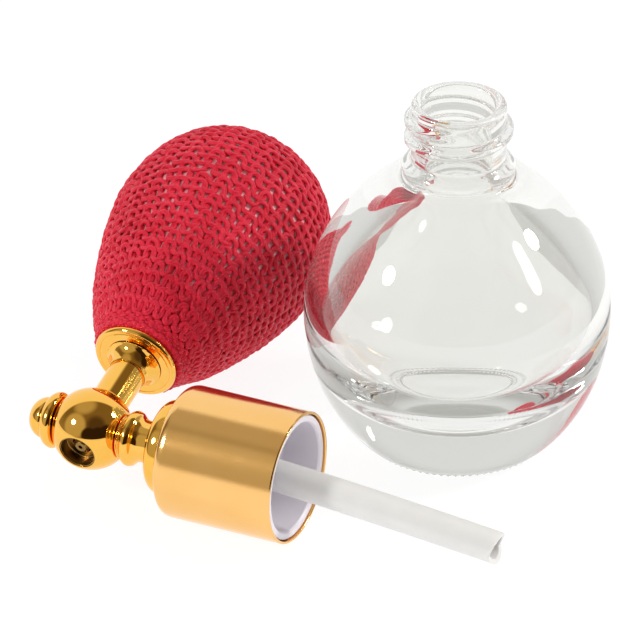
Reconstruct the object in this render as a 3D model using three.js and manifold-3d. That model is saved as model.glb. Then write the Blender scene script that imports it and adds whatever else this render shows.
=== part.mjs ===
// Perfume atomiser: a round clear glass bottle with a screw neck, and beside it
// the gold spray head that screws onto it: collar with white thread liner, dip
// tube, turned neck, ball with nozzle, knob, air stem and a knitted rubber bulb.
// The head lies on the table next to the bottle. Millimetres, +Z up.
import * as THREE from 'three';
import { mergeVertices } from 'three/addons/utils/BufferGeometryUtils.js';
import Module from 'manifold-3d';

const wasm = await Module();
wasm.setup();

// ---------------------------------------------------------------- dimensions
// where things stand on the table
const SHIFT_X = -0.5, SHIFT_Y = -1.96;      // brings the middle of the set to the origin
const BOTTLE_X = 22.69 + SHIFT_X, BOTTLE_Y = 1.71 + SHIFT_Y;     // axis of the bottle
const BALL_X = -36.41 + SHIFT_X, BALL_Y = -16.49 + SHIFT_Y;      // centre of the ball of the head
const BALL_Z = 10.9;                        // its height: the collar lies on its side
const HEAD_AZIMUTH = 25.3;                  // degrees the collar points towards the viewer
const STEM_RISE = 15.5;                     // degrees the air stem rises to the bulb
const BULB_RISE = 2.13, BULB_AZIMUTH = 19.68; // where the soft bulb droops to behind its disc

// bottle
const BODY_R = 25;            // ball-shaped body, 50 mm across
const BODY_Z = 23.2;          // height of the widest ring
const BODY_LOW = 29.1;        // half axis of the lower half
const BODY_HIGH = 27.6;       // half axis of the upper half
const FOOT_IN = 12.4, FOOT_OUT = 14.7;
const BEAD_R = 9.1;           // ring under the thread
const NECK_R = 7.8;           // neck wall under the thread
const LIP_Z = 60.9;           // height of the lip
const THREAD_R = 8.875;       // 17.75 mm over the thread
const PITCH = 3.175;
const BORE_R = 5.5;

// collar, measured along the head's axis from the centre of the ball
const COLLAR_R = 10.9, COLLAR_WALL = 0.45;
const COLLAR_BACK = 15.8, COLLAR_END = 36.8;
const LINER_R = 10.32, LINER_BORE = 8.98;
const LINER_BACK = 17.15, LINER_END = 36.45;
const WEB_A = 21.0, WEB_B = 22.6;           // web of the liner that carries the washer
const HUB_R = 4.0;                          // hub that the collar turns on

// ball and knob
const BALL_R = 6.7, BALL_FLAT = 5.5;
const NOZZLE_R = 3.2;
const KNOB_R = 3.4, KNOB_RING_R = 4.65;

// dip tube
const TUBE_R = 2.65, TUBE_BORE = 1.85;
const TUBE_A = 19.4, TUBE_B = 72.3, TUBE_SAG = 4.12, TUBE_BEND = 25;

// air stem, disc and bulb, measured along the stem from the centre of the ball
const STEM_R = 3.1, STEM_A = 6.22, STEM_B = 15.7;
const DISC_R = 7.15, DISC_A = 15.9, DISC_B = 17.3;
const BULB_A = 17.6;                        // mouth of the net, where the droop starts
const DROOP_RUN = 12;                       // length over which the soft mouth bends
const BULB_R = 18.28, BULB_MOUTH = 7.5;     // radius at the widest ring and at the mouth
const BULB_WIDE = 34.33, BULB_LEN = 55.05;  // distances from the mouth to there and to the far end
const BULB_NEAR = 1.3, BULB_FAR = 2.59;     // fullness of the cone side and of the round end

// ---------------------------------------------------------------- materials
const mat = (color, roughness, metalness, extra = {}) =>
  new THREE.MeshStandardMaterial({ color, roughness, metalness, ...extra });
const gold = mat(0xd9a441, 0.12, 1.0);
const goldSatin = mat(0xcf9c48, 0.28, 1.0);
const darkBrass = mat(0x4a3418, 0.4, 0.9);
const glass = mat(0xe6e9e6, 0.03, 0.0, { transparent: true, opacity: 0.35 });
const linerPlastic = mat(0xe4e0e6, 0.45, 0.0);
const tubePlastic = mat(0xe6e4e2, 0.4, 0.0);
const foam = mat(0xf2f0ea, 0.8, 0.0);
const rubber = mat(0xd85b74, 0.6, 0.0);
const knit = mat(0xc41e3c, 0.85, 0.0);
const valveRubber = mat(0x2b2b2d, 0.7, 0.0);

// ---------------------------------------------------------------- helpers
const DEG = Math.PI / 180;

// closed body: shared corners merged, slivers dropped, faces turned outwards
function solid(geometry) {
  let g = geometry.clone();
  for (const name of Object.keys(g.attributes)) if (name !== 'position') g.deleteAttribute(name);
  g = mergeVertices(g, 1e-4);
  const p = g.attributes.position, idx = g.index.array, keep = [];
  for (let i = 0; i < idx.length; i += 3) {
    const [a, b, c] = [idx[i], idx[i + 1], idx[i + 2]];
    if (a !== b && b !== c && c !== a) keep.push(a, b, c);
  }
  let vol = 0;
  const A = new THREE.Vector3(), B = new THREE.Vector3(), C = new THREE.Vector3();
  for (let i = 0; i < keep.length; i += 3) {
    A.fromBufferAttribute(p, keep[i]); B.fromBufferAttribute(p, keep[i + 1]); C.fromBufferAttribute(p, keep[i + 2]);
    vol += A.dot(B.cross(C));
  }
  if (vol < 0) for (let i = 0; i < keep.length; i += 3) [keep[i + 1], keep[i + 2]] = [keep[i + 2], keep[i + 1]];
  g.setIndex(keep);
  return g;
}
const toManifold = (geometry) => {
  const g = solid(geometry);
  return new wasm.Manifold(new wasm.Mesh({
    numProp: 3,
    vertProperties: new Float32Array(g.attributes.position.array),
    triVerts: new Uint32Array(g.index.array),
  }));
};
const fromManifold = (m) => {
  const mesh = m.getMesh(), g = new THREE.BufferGeometry();
  g.setAttribute('position', new THREE.BufferAttribute(new Float32Array(mesh.vertProperties), 3));
  g.setIndex(Array.from(mesh.triVerts));
  return g;
};
const cut = (body, ...tools) => fromManifold(tools.reduce((m, t) => m.subtract(toManifold(t)), toManifold(body)));
const join = (body, ...more) => fromManifold(more.reduce((m, t) => m.add(toManifold(t)), toManifold(body)));

// turned body about Z from [radius, height] pairs
function turned(profile, segments = 32, phase = 0) {
  const pts = profile.map(([r, z]) => new THREE.Vector2(r, z));
  const g = new THREE.LatheGeometry(pts, segments);
  g.rotateX(Math.PI / 2);
  if (phase) g.rotateZ(phase);
  return g;
}
// closed ring profile: the first point again at the end
const ring = (profile, segments, phase) => turned([...profile, profile[0]], segments, phase);
// cylinder along Z between two heights
function rod(r, za, zb, segments = 24) {
  const g = new THREE.CylinderGeometry(r, r, zb - za, segments);
  g.rotateX(Math.PI / 2); g.translate(0, 0, (za + zb) / 2);
  return g;
}
// the same along X
const rodX = (r, xa, xb, segments = 24) => rod(r, xa, xb, segments).rotateY(Math.PI / 2);
// a turned profile laid along X: heights become x
const alongX = (g) => g.rotateY(Math.PI / 2);

// helical rib: a straight rib bent round the axis, its ends running out to nothing
function rib({ base, crest, foot, top, zStart, pitch, turns, inward = false, steps = 24 }) {
  const shape = new THREE.Shape([
    new THREE.Vector2(0, -foot / 2), new THREE.Vector2(1, -top / 2),
    new THREE.Vector2(1, top / 2), new THREE.Vector2(0, foot / 2),
  ]);
  const n = Math.round(turns * steps);
  const g = new THREE.ExtrudeGeometry(shape, { depth: 1, steps: n, bevelEnabled: false });
  const p = g.attributes.position;
  for (let i = 0; i < p.count; i++) {
    const t = p.getZ(i), a = t * turns * 2 * Math.PI;
    const run = Math.min(1, Math.min(t, 1 - t) * turns * 7 + 0.04);
    const r = base + (crest - base) * p.getX(i) * run;
    const z = zStart + pitch * turns * t + p.getY(i) * (0.45 + 0.55 * run);
    p.setXYZ(i, r * Math.cos(a), r * Math.sin(a), z);
  }
  return g;
}

const parts = new THREE.Group();
const addTo = (group, name, geometry, material) => {
  const mesh = new THREE.Mesh(solid(geometry), material);
  mesh.name = name;
  group.add(mesh);
  return mesh;
};

// ---------------------------------------------------------------- bottle
const bottle = new THREE.Group();
bottle.position.set(BOTTLE_X, BOTTLE_Y, 0);
parts.add(bottle);

const low = (z) => BODY_R * Math.sqrt(1 - ((BODY_Z - z) / BODY_LOW) ** 2);
const high = (z) => BODY_R * (1 - ((z - BODY_Z) / BODY_HIGH) ** 1.85) ** (1 / 1.85);
const outside = [
  [0, 1.1], [8, 1.0], [11.6, 0.75], [FOOT_IN, 0], [FOOT_OUT, 0], [15.35, 0.35],
  ...[2.5, 6, 10.5, 16].map((z) => [low(z), z]),
  [BODY_R, BODY_Z],
  ...[29.5, 35, 39.5, 43, 45.6, 47.1].map((z) => [high(z), z]),
  [9.75, 47.95], [BEAD_R, 48.2], [BEAD_R, 49.9], [8.75, 50.6], [8.0, 51.1], [NECK_R, 51.6],
  [NECK_R, 60.2], [7.65, 60.7], [7.3, LIP_Z], [6.45, LIP_Z], [6.15, 60.6],
  // inside: the wall is thick at the shoulder and round the foot
  [5.9, 59.5], [BORE_R, 56.5], [BORE_R, 49.6], [5.7, 47.6], [6.6, 45.2], [8.3, 42.6], [10.9, 39.5],
  [14.2, 35.8], [17.4, 31.6], [19.8, 27.3], [20.8, 23.5], [20.3, 19.6],
  [18.4, 15.8], [15.0, 12.4], [10.6, 10.0], [5.6, 8.7], [0, 8.3],
];
const neckThread = rib({
  base: 7.5, crest: THREAD_R, foot: 2.5, top: 0.9, zStart: 53.1, pitch: PITCH, turns: 1.75, steps: 14,
});
addTo(bottle, 'glass_bottle', join(turned(outside, 32), neckThread), glass);

// ---------------------------------------------------------------- spray head
// local axes: Z along the head towards the open collar, X along the air stem
const az = HEAD_AZIMUTH * DEG, ga = STEM_RISE * DEG;
const axisZ = new THREE.Vector3(Math.cos(az), -Math.sin(az), 0);
const axisX = new THREE.Vector3(Math.sin(az) * Math.cos(ga), Math.cos(az) * Math.cos(ga), Math.sin(ga));
const axisY = new THREE.Vector3().crossVectors(axisZ, axisX);
const head = new THREE.Group();
head.quaternion.setFromRotationMatrix(new THREE.Matrix4().makeBasis(axisX, axisY, axisZ));
head.position.set(BALL_X, BALL_Y, BALL_Z);
parts.add(head);
// straight down, seen from the head
const down = new THREE.Vector3(-Math.sin(ga), -Math.cos(ga), 0);
const downAngle = Math.atan2(down.y, down.x);

// ball: flats for knob and neck, seat for the stem, nozzle recess, air and liquid channels
{
  const ball = new THREE.SphereGeometry(BALL_R, 24, 16).rotateX(Math.PI / 2);
  const flat = (a, b) => rod(9, a, b, 12);
  addTo(head, 'ball_body', cut(ball,
    flat(BALL_FLAT, 9), flat(-9, -BALL_FLAT),
    rodX(3.35, 6.0, 9, 20), rodX(2.0, 2.2, 7, 16), rodX(1.0, -0.5, 3, 10),
    rodX(NOZZLE_R, -9, -3.2, 24), rodX(1.5, -4, -1.6, 16), rodX(0.8, -2, 0.5, 10),
    rod(2.6, 2.4, 7, 18), rod(1.0, -0.3, 3, 10), rod(1.6, -7, -2.8, 16)), gold);
}

// nozzle: dark lining of the recess and the tip that breaks the liquid into spray
addTo(head, 'nozzle_cup', alongX(ring([
  [1.7, -3.4], [1.7, -3.7], [2.8, -3.7], [2.8, -5.55], [3.05, -5.55], [3.05, -3.4],
], 24)), darkBrass);
addTo(head, 'spray_tip', alongX(ring([
  [0.35, -2.0], [1.35, -2.0], [1.35, -4.0], [0.9, -4.5], [0.35, -4.5],
], 12)), darkBrass);

// knob opposite the collar
addTo(head, 'finial_ring', ring([
  [1.75, -5.65], [3.85, -5.65], [4.4, -5.85], [KNOB_RING_R, -6.4], [4.5, -7.05], [4.1, -7.6], [3.65, -7.85], [1.75, -7.85],
], 24), gold);
addTo(head, 'finial_knob', turned([
  [0, -3.1], [1.45, -3.1], [1.45, -8.0], [3.35, -8.0], [KNOB_R, -8.4],
  [3.2, -9.1], [2.8, -9.75], [2.2, -10.3], [1.4, -10.7], [0.7, -10.86], [0, -10.9],
], 20), gold);

// turned neck: spigot into the ball, two fine rings, bead, waist, long shank
addTo(head, 'turned_neck', ring([
  [1.0, 2.7], [2.4, 2.7], [2.4, 5.65], [3.35, 5.65], [3.6, 5.82], [3.35, 6.0], [3.6, 6.2], [3.35, 6.4],
  [3.75, 6.5], [4.35, 6.85], [4.57, 7.45], [4.35, 8.1], [3.8, 8.65], [3.5, 9.3], [3.45, 11.9],
  [2.6, 11.9], [2.6, 18.8], [1.0, 18.8],
], 20), gold);

// shoulder dome with the hub that the collar turns on
addTo(head, 'shoulder_dome', ring([
  [2.8, 12.05], [3.6, 12.05], [5.2, 12.12], [6.5, 12.3], [7.3, 12.65], [7.75, 13.2], [7.9, 13.9],
  [7.9, 15.5], [HUB_R, 15.5], [HUB_R, 16.45], [2.8, 16.45],
], 28), gold);

// the collar: drawn shell, liner with the thread, washer
{
  const R = COLLAR_R, r = R - COLLAR_WALL, b = COLLAR_BACK, e = COLLAR_END;
  addTo(head, 'collar_shell', ring([
    [HUB_R + 0.07, b], [9.95, b], [10.4, b + 0.12], [10.75, b + 0.42], [R, b + 0.9],
    [R, e - 0.15], [R - 0.12, e], [r + 0.1, e], [r, e - 0.1],
    [r, b + 1.3], [10.25, b + 0.8], [9.8, b + 0.5], [HUB_R + 0.07, b + 0.5],
  ], 32), goldSatin);
  const liner = ring([
    [LINER_R, LINER_BACK], [LINER_R, LINER_END - 0.2], [LINER_R - 0.2, LINER_END],
    [LINER_BORE + 0.3, LINER_END], [LINER_BORE, LINER_END - 0.35], [LINER_BORE, WEB_B],
    [3.85, WEB_B], [3.85, WEB_A], [8.9, WEB_A], [8.9, LINER_BACK],
  ], 28);
  const groove = rib({
    base: 9.35, crest: 8.3, foot: 1.9, top: 0.7, zStart: 26.1, pitch: PITCH, turns: 1.5, steps: 12,
  });
  addTo(head, 'thread_insert', join(liner, groove), linerPlastic);
  addTo(head, 'neck_gasket', ring([[4.2, WEB_B + 0.15], [8.75, WEB_B + 0.15], [8.75, WEB_B + 1.3], [4.2, WEB_B + 1.3]], 24), foam);
}

// slip ring and tube socket that hold the collar on its hub
addTo(head, 'slip_ring', ring([[4.25, 16.5], [8.2, 16.5], [8.2, 17.0], [4.25, 17.0]], 24), tubePlastic);
addTo(head, 'tube_socket', ring([
  [2.75, 17.2], [8.2, 17.2], [8.2, 17.9], [4.6, 18.6], [3.55, 19.5], [3.55, 25.6], [3.35, 26.0], [2.85, 26.0],
  [2.85, 19.0], [2.75, 19.0],
], 20), linerPlastic);

// dip tube: leaves the socket straight, then hangs a little towards the table;
// its end is cut to a fish tail
{
  const outer = new THREE.Shape(), N = 12;
  const circle = (r, n) => Array.from({ length: n }, (_, i) =>
    new THREE.Vector2(r * Math.cos((i / n) * 2 * Math.PI), r * Math.sin((i / n) * 2 * Math.PI)));
  outer.setFromPoints(circle(TUBE_R, N));
  outer.holes.push(new THREE.Path().setFromPoints(circle(TUBE_BORE, N).reverse()));
  const pts = [];
  for (let i = 0; i <= 12; i++) {
    const z = TUBE_A + (TUBE_B - TUBE_A) * (i / 12);
    const s = z < TUBE_BEND ? 0 : TUBE_SAG * ((z - TUBE_BEND) / (TUBE_B - TUBE_BEND)) ** 1.25;
    pts.push(new THREE.Vector3(down.x * s, down.y * s, z));
  }
  const tube = new THREE.ExtrudeGeometry(outer, {
    steps: 12, bevelEnabled: false, extrudePath: new THREE.CatmullRomCurve3(pts, false, 'centripetal'),
  });
  // notch: a wedge across the end, its edge level and square to the tube
  const wedge = new THREE.ExtrudeGeometry(new THREE.Shape([
    new THREE.Vector2(0, -1.4), new THREE.Vector2(3.6, 0.62), new THREE.Vector2(-3.6, 0.62),
  ]), { depth: 12, bevelEnabled: false });
  wedge.translate(0, 0, -6);
  wedge.rotateX(Math.PI / 2).rotateZ(downAngle);
  wedge.translate(down.x * TUBE_SAG, down.y * TUBE_SAG, TUBE_B);
  addTo(head, 'dip_tube', cut(tube, wedge), tubePlastic);
}

// air stem with its boss, and the disc the bulb sits against
addTo(head, 'air_stem', alongX(ring([
  [1.1, 3.2], [1.8, 3.2], [1.8, STEM_A], [STEM_R, STEM_A], [STEM_R, STEM_B], [2.2, STEM_B], [2.2, 19.6], [1.1, 19.6],
], 20)), gold);
addTo(head, 'stem_boss', alongX(ring([
  [3.2, 13.4], [3.35, 13.4], [3.5, 14.2], [3.8, 14.9], [4.25, 15.4], [4.4, 15.6], [4.4, 15.7], [3.2, 15.7],
], 20)), gold);
addTo(head, 'bulb_flange', alongX(ring([
  [2.35, DISC_A], [6.55, DISC_A], [7.0, 16.1], [DISC_R, 16.45], [DISC_R, 16.85], [6.95, DISC_B], [2.35, DISC_B],
], 28)), gold);

// spigot that the mouth of the bulb is pushed over, with the outlet valve inside
addTo(head, 'bulb_nipple', alongX(ring([
  [2.35, 17.5], [3.6, 17.5], [3.6, 22.2], [4.3, 22.9], [4.3, 23.3], [3.3, 25.3], [0.9, 25.3], [0.9, 21.4],
  [1.9, 21.4], [1.9, 19.8], [2.35, 19.8],
], 18)), gold);
addTo(head, 'outlet_valve_disc', alongX(rod(1.55, 20.75, 21.3, 16)), valveRubber);

// bulb: rubber inside, knitted cover outside, both open at the two ends
const bulbRadius = (t) => {
  if (t < BULB_WIDE) {
    const u = 1 - t / BULB_WIDE;
    return BULB_MOUTH + (BULB_R - BULB_MOUTH) * Math.max(0, 1 - u ** BULB_NEAR) ** (1 / BULB_NEAR);
  }
  const u = Math.min(1, (t - BULB_WIDE) / (BULB_LEN - BULB_WIDE));
  return BULB_R * Math.max(0, 1 - u ** BULB_FAR) ** (1 / BULB_FAR);
};
// [radius, x] of the bulb's outline, moved inwards by a wall thickness
const outline = (stops, inset) => stops.map((t) => {
  const a = Math.max(0, t - 0.02), b = Math.min(BULB_LEN, t + 0.02);
  const dr = bulbRadius(b) - bulbRadius(a), dx = b - a, n = Math.hypot(dr, dx);
  return [bulbRadius(t) - inset * dx / n, BULB_A + t + inset * dr / n];
});
const END = BULB_A + BULB_LEN;

// the soft mouth droops: past the mouth the centre line turns from the stem's
// direction to that of the bulb
const bulbDir = new THREE.Vector3(
  Math.sin(BULB_AZIMUTH * DEG) * Math.cos(BULB_RISE * DEG),
  Math.cos(BULB_AZIMUTH * DEG) * Math.cos(BULB_RISE * DEG), Math.sin(BULB_RISE * DEG));
const localDir = new THREE.Vector3(bulbDir.dot(axisX), bulbDir.dot(axisY), bulbDir.dot(axisZ));
const hingeAxis = new THREE.Vector3(1, 0, 0).cross(localDir).normalize();
const droopAngle = new THREE.Vector3(1, 0, 0).angleTo(localDir);
const turnAt = (t) => {
  const u = Math.min(1, Math.max(0, t / DROOP_RUN));
  return droopAngle * u * u * (3 - 2 * u);
};
const centreLine = (t) => {
  const p = new THREE.Vector3(BULB_A, 0, 0), n = 60, run = Math.min(t, DROOP_RUN);
  for (let i = 0; i < n; i++) {
    p.addScaledVector(new THREE.Vector3(1, 0, 0).applyAxisAngle(hingeAxis, turnAt((i + 0.5) / n * run)), run / n);
  }
  return t > DROOP_RUN ? p.addScaledVector(localDir, t - DROOP_RUN) : p;
};
function droop(g) {
  const p = g.attributes.position, v = new THREE.Vector3();
  for (let i = 0; i < p.count; i++) {
    const t = p.getX(i) - BULB_A;
    if (t <= 0) continue;
    v.set(0, p.getY(i), p.getZ(i)).applyAxisAngle(hingeAxis, turnAt(t)).add(centreLine(t));
    p.setXYZ(i, v.x, v.y, v.z);
  }
  return g;
}

addTo(head, 'rubber_bulb', droop(alongX(ring([
  [6.25, 17.9], ...outline([1.9, 4, 7.5, 12, 17.5, 23, 28.5, BULB_WIDE, 39.5, 44, 47.5, 50.3, 52.3, 53.6], 1.2), [5.4, END - 1.5], [3.6, END - 1.4],
  [3.6, END - 3.1], ...outline([54.3, 53.2, 51.5, 49, 45.5, 40.5, BULB_WIDE, 27, 20, 13.5], 2.8), [8.0, 25.4], [4.8, 24.2], [4.8, 17.9],
], 20))), rubber);
addTo(head, 'bulb_net', droop(alongX(ring([
  ...outline([0, 1.2, 3, 6.5, 11.5, 17, 23, 28.5, BULB_WIDE, 39.5, 44, 47.5, 50.3, 52.3, 53.7, 54.5], 0), [4.3, END - 0.15],
  [3.7, END - 0.15], [3.7, END - 0.85], [5.2, END - 1.0],
  ...outline([54.1, 53.1, 51.6, 49.3, 46, 41.5, BULB_WIDE, 28, 21.5, 15, 9.5, 5, 2.2], 0.85), [6.7, 17.6],
], 24))), knit);

// far end of the bulb: inlet valve, its disc, and the cord that gathers the net
addTo(head, 'inlet_valve_body', droop(alongX(ring([
  [1.2, END - 5.4], [3.4, END - 5.4], [3.4, END + 1.1], [4.4, END + 1.1], [4.4, END + 1.45], [3.7, END + 1.8],
  [0.9, END + 1.8], [0.9, END - 1.65], [2.2, END - 1.65], [2.2, END - 4.25], [1.2, END - 4.25],
], 18))), gold);
addTo(head, 'inlet_valve_disc', droop(alongX(rod(1.85, END - 2.35, END - 1.8, 16))), valveRubber);
addTo(head, 'net_gather', droop(alongX(ring([
  [3.55, END + 0.5], [3.7, END + 0.15], [4.05, END + 0.07], [4.4, END + 0.15], [4.55, END + 0.5], [4.4, END + 0.85],
  [4.05, END + 0.95], [3.7, END + 0.85],
], 18))), knit);

export default parts;
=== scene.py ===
import math
import random

import bmesh
import bpy
import numpy as np
from mathutils import Matrix, Vector


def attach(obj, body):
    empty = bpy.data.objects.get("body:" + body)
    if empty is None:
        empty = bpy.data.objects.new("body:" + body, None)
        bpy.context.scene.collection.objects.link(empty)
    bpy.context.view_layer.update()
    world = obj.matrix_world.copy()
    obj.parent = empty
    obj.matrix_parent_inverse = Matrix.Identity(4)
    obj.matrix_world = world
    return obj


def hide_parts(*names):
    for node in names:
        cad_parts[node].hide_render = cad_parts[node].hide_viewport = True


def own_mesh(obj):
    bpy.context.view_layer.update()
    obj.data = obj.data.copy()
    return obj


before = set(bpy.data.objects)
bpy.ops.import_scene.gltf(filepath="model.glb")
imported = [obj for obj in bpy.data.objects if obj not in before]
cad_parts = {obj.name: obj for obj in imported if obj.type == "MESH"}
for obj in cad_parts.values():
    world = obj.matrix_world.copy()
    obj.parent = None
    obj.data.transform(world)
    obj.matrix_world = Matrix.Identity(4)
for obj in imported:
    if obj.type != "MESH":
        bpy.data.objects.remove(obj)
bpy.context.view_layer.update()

MM = 0.001
rng = random.Random(7)

# ------------------------------------------------------------------ frames
# local frames in millimetres, taken to the shared frame in metres
BOTTLE = Matrix.Translation((22.19 * MM, -0.25 * MM, 0)) @ Matrix.Scale(MM, 4)
AZ, GA = math.radians(25.3), math.radians(15.5)
H = Vector((math.cos(AZ), -math.sin(AZ), 0))
S = Vector((math.sin(AZ) * math.cos(GA), math.cos(AZ) * math.cos(GA), math.sin(GA)))
W = H.cross(S)
BALL = Vector((-36.91, -18.45, 10.9)) * MM
HEAD = Matrix.Translation(BALL) @ Matrix(((S.x, W.x, H.x, 0), (S.y, W.y, H.y, 0), (S.z, W.z, H.z, 0), (0, 0, 0, 1))) @ Matrix.Scale(MM, 4)

# the soft bulb droops behind its disc: its centre line turns from the stem's direction to this one
DROOP_AZ, DROOP_GA, DROOP_RUN, BULB_A = math.radians(19.68), math.radians(2.13), 12.0, 17.6
D = Vector((math.sin(DROOP_AZ) * math.cos(DROOP_GA), math.cos(DROOP_AZ) * math.cos(DROOP_GA), math.sin(DROOP_GA)))
D_LOCAL = np.array([D.dot(S), D.dot(W), D.dot(H)])
HINGE = np.cross((1.0, 0.0, 0.0), D_LOCAL)
DROOP = math.atan2(np.linalg.norm(HINGE), D_LOCAL[0])
HINGE /= np.linalg.norm(HINGE)


def turned_by(v, phi):
    """Vectors turned about the hinge of the droop by angles phi."""
    c, s = np.cos(phi)[:, None], np.sin(phi)[:, None]
    return v * c + np.cross(HINGE, v) * s + HINGE * (v @ HINGE)[:, None] * (1 - c)


def droop_angle(t):
    u = np.clip(t / DROOP_RUN, 0, 1)
    return DROOP * u * u * (3 - 2 * u)


LINE_T = np.linspace(0, 64, 1281)
LINE_STEP = turned_by(np.tile((1.0, 0.0, 0.0), (1280, 1)), droop_angle((LINE_T[1:] + LINE_T[:-1]) / 2)) * (LINE_T[1] - LINE_T[0])
LINE_P = np.vstack([[BULB_A, 0, 0], [BULB_A, 0, 0] + np.cumsum(LINE_STEP, 0)])


def droop(co):
    """Points of the straight bulb, in the head's millimetres, moved to the drooping one."""
    co = np.array(co, float)
    t = co[:, 0] - BULB_A
    side = co.copy()
    side[:, 0] = 0
    centre = np.stack([np.interp(t, LINE_T, LINE_P[:, k]) for k in range(3)], 1)
    out = centre + turned_by(side, droop_angle(t))
    return np.where((t > 0)[:, None], out, co)


# ------------------------------------------------------------------ mesh code
def smooth_profile(nodes, step=0.35, closed=False):
    """nodes: (r, z, kind) with kind a fillet radius for a corner or None for a point that the curve runs through.
    Gives a dense list of (r, z) with rounded corners and a support point beside each rounding."""
    pts = [np.array(n[:2], float) for n in nodes]
    kinds = [n[2] if len(n) > 2 else 0.0 for n in nodes]
    n = len(pts)
    count = n if closed else n - 1
    unit = lambda v: v / max(np.linalg.norm(v), 1e-12)
    tangent = [None] * n
    for i in range(n):
        if kinds[i] is None:
            tangent[i] = unit(pts[(i + 1) % n] - pts[(i - 1) % n])
    segments = []
    for i in range(count):
        a, b = pts[i], pts[(i + 1) % n]
        ta, tb = tangent[i], tangent[(i + 1) % n]
        length = np.linalg.norm(b - a)
        if ta is None and tb is None:
            segments.append([a, b])
            continue
        if ta is None:
            ta = 1.5 * (b - a) / length - 0.5 * tb
        if tb is None:
            tb = 1.5 * (b - a) / length - 0.5 * ta
        k = max(2, int(math.ceil(length / step)))
        out = []
        for j in range(k + 1):
            t = j / k
            h00, h10 = 2 * t**3 - 3 * t**2 + 1, t**3 - 2 * t**2 + t
            h01, h11 = -2 * t**3 + 3 * t**2, t**3 - t**2
            out.append(h00 * a + h10 * length * ta + h01 * b + h11 * length * tb)
        segments.append(out)

    def walk(line, d):
        """The line from distance d on: the point there and what follows it."""
        left = d
        for j in range(len(line) - 1):
            step_len = np.linalg.norm(line[j + 1] - line[j])
            if left < step_len - 1e-9:
                return [line[j] + (line[j + 1] - line[j]) * left / step_len] + line[j + 1 :]
            left -= step_len
        return [line[-1]]

    lens = [sum(np.linalg.norm(s[j + 1] - s[j]) for j in range(len(s) - 1)) for s in segments]
    arcs = {}
    for i in range(n):
        if kinds[i] is None or not kinds[i]:
            continue
        before, after = (i - 1) % n, i
        if not closed and (i == 0 or i == n - 1):
            continue
        da = unit(segments[before][-1] - segments[before][-2])
        db = unit(segments[after][1] - segments[after][0])
        turn = math.acos(max(-1, min(1, float(da @ db))))
        if turn < 0.06:
            continue
        trim = min(kinds[i] * math.tan(turn / 2), 0.46 * lens[before], 0.46 * lens[after])
        arcs[i] = (trim, turn)
    out = []
    for i in range(count):
        line = segments[i]
        a, b = i, (i + 1) % n
        if a in arcs:
            line = walk(line, arcs[a][0])
        if b in arcs:
            line = walk(line[::-1], arcs[b][0])[::-1]
        total = sum(np.linalg.norm(line[j + 1] - line[j]) for j in range(len(line) - 1))
        extra = []
        if a in arcs and total > arcs[a][0] * 0.9:
            extra.append(("a", walk(line, arcs[a][0] * 0.3)[0]))
        if b in arcs and total > arcs[b][0] * 0.9:
            extra.append(("b", walk(line[::-1], arcs[b][0] * 0.3)[0]))
        full = list(line)
        for side, p in extra:
            full = [full[0], p] + full[1:] if side == "a" else full[:-1] + [p, full[-1]]
        # keep the points in order along the line
        d = [np.linalg.norm(p - full[0]) for p in full]
        if len(line) == 2:
            full = [p for _, p in sorted(zip(d, full), key=lambda x: x[0])]
        out.extend(full if not out else (full if b in arcs or a in arcs else full[1:]))
        if b in arcs:
            p0 = line[-1]
            nxt = walk(segments[b], arcs[b][0])[0]
            corner = pts[b]
            k = max(3, int(math.ceil(arcs[b][1] / 0.28)))
            kappa = 4 / 3 * math.tan(arcs[b][1] / 4) / math.tan(arcs[b][1] / 2)
            c0, c1 = p0 + (corner - p0) * kappa, nxt + (corner - nxt) * kappa
            for j in range(1, k):
                t = j / k
                out.append((1 - t) ** 3 * p0 + 3 * (1 - t) ** 2 * t * c0 + 3 * (1 - t) * t * t * c1 + t**3 * nxt)
    clean = [out[0]]
    for p in out[1:]:
        if np.linalg.norm(p - clean[-1]) > 2e-3:
            clean.append(p)
    if closed and np.linalg.norm(clean[0] - clean[-1]) < 2e-3:
        clean.pop()
    return [(max(0.0, float(p[0])), float(p[1])) for p in clean]


def make_object(name, co, faces, uv=None, smooth=True):
    mesh = bpy.data.meshes.new(name)
    mesh.from_pydata([tuple(c) for c in co], [], faces)
    mesh.update()
    if smooth:
        mesh.polygons.foreach_set("use_smooth", [True] * len(mesh.polygons))
    if uv is not None:
        layer = mesh.uv_layers.new(name="UVMap")
        loops = np.zeros(len(mesh.loops), int)
        mesh.loops.foreach_get("vertex_index", loops)
        layer.data.foreach_set("uv", np.asarray(uv, np.float32)[loops].ravel())
    ob = bpy.data.objects.new(name, mesh)
    bpy.context.scene.collection.objects.link(ob)
    return ob


def outward(ob):
    """Faces turned out of the body."""
    bm = bmesh.new()
    bm.from_mesh(ob.data)
    bmesh.ops.recalc_face_normals(bm, faces=bm.faces)
    if bm.calc_volume(signed=True) < 0:
        bmesh.ops.reverse_faces(bm, faces=bm.faces)
    bm.to_mesh(ob.data)
    bm.free()
    return ob


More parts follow.
